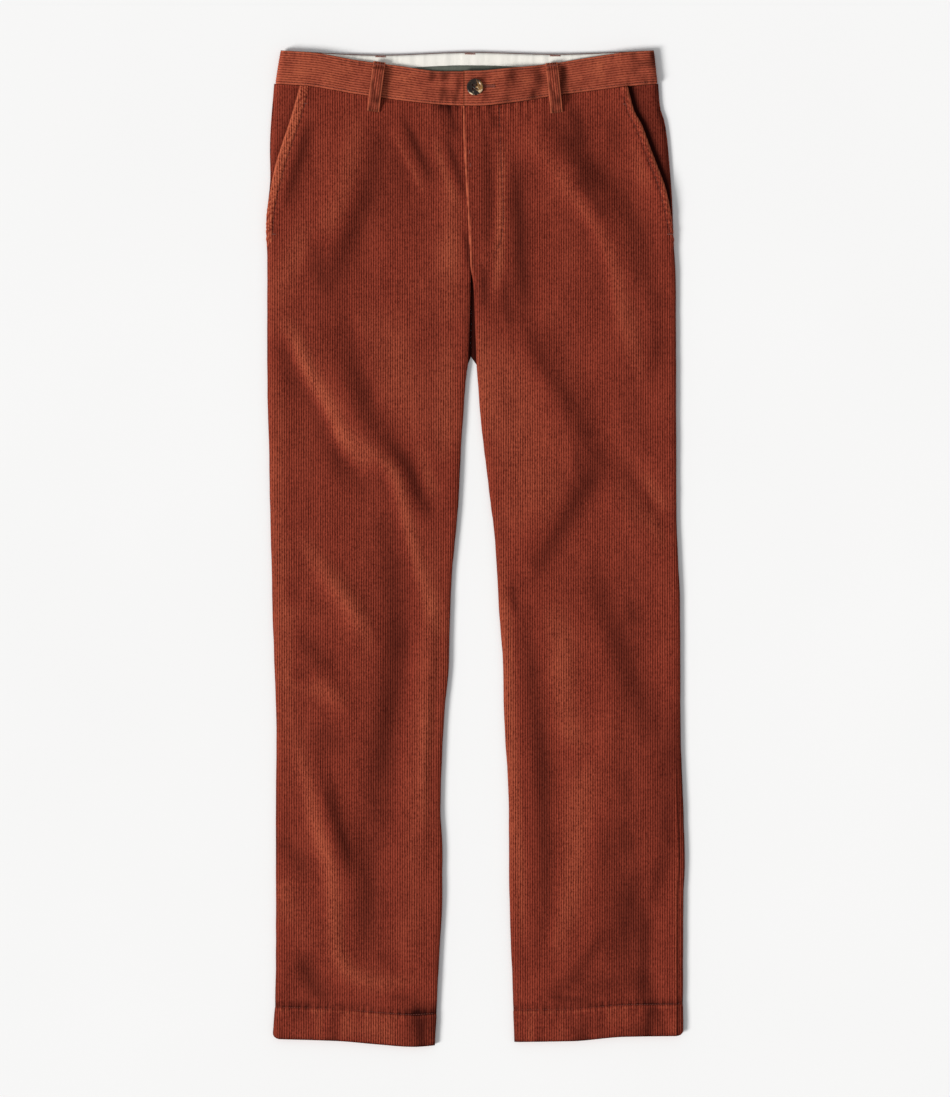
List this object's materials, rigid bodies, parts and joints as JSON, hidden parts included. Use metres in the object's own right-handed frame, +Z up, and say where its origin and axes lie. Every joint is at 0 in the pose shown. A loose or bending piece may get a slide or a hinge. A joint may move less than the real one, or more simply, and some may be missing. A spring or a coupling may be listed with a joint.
{
  "type": "corduroy trousers",
  "caption": "Straight-leg corduroy trousers laid flat on their back, front up, with waistband, belt loops, buttoned fly and slanted side pockets.",
  "frame": {"origin": "on the floor, below the middle of the laid-out garment", "axes": "+Y towards the waist, +Z up through the front, +X to the right of someone who looks down on the front"},
  "size_m": [0.48, 1.1466, 0.0158],
  "materials": {
    "corduroy": "rust-brown cotton corduroy, medium wale, soft cut pile with a slight sheen",
    "waistband_corduroy": "the same corduroy with its wales running along the band or the loop",
    "lining": "ecru cotton twill, pressed, matte",
    "tape": "plain grey-green woven tape, matte",
    "button": "polished horn-look resin, mottled dark brown and cream"
  },
  "bodies": {
    "root": {"front_left": "corduroy", "front_right": "corduroy", "back_left": "corduroy", "back_right": "corduroy", "pocket_facing_left": "corduroy", "pocket_facing_right": "corduroy", "waistband_front_left": "waistband_corduroy", "waistband_front_right": "waistband_corduroy", "waistband_back_left": "waistband_corduroy", "waistband_back_right": "waistband_corduroy", "waistband_lining": "lining", "waistband_tape": "tape", "belt_loop_front_left": "waistband_corduroy", "belt_loop_front_right": "waistband_corduroy", "belt_loop_back_left": "waistband_corduroy", "belt_loop_back_centre": "waistband_corduroy", "belt_loop_back_right": "waistband_corduroy", "button": "button"}
  },
  "joints": []
}
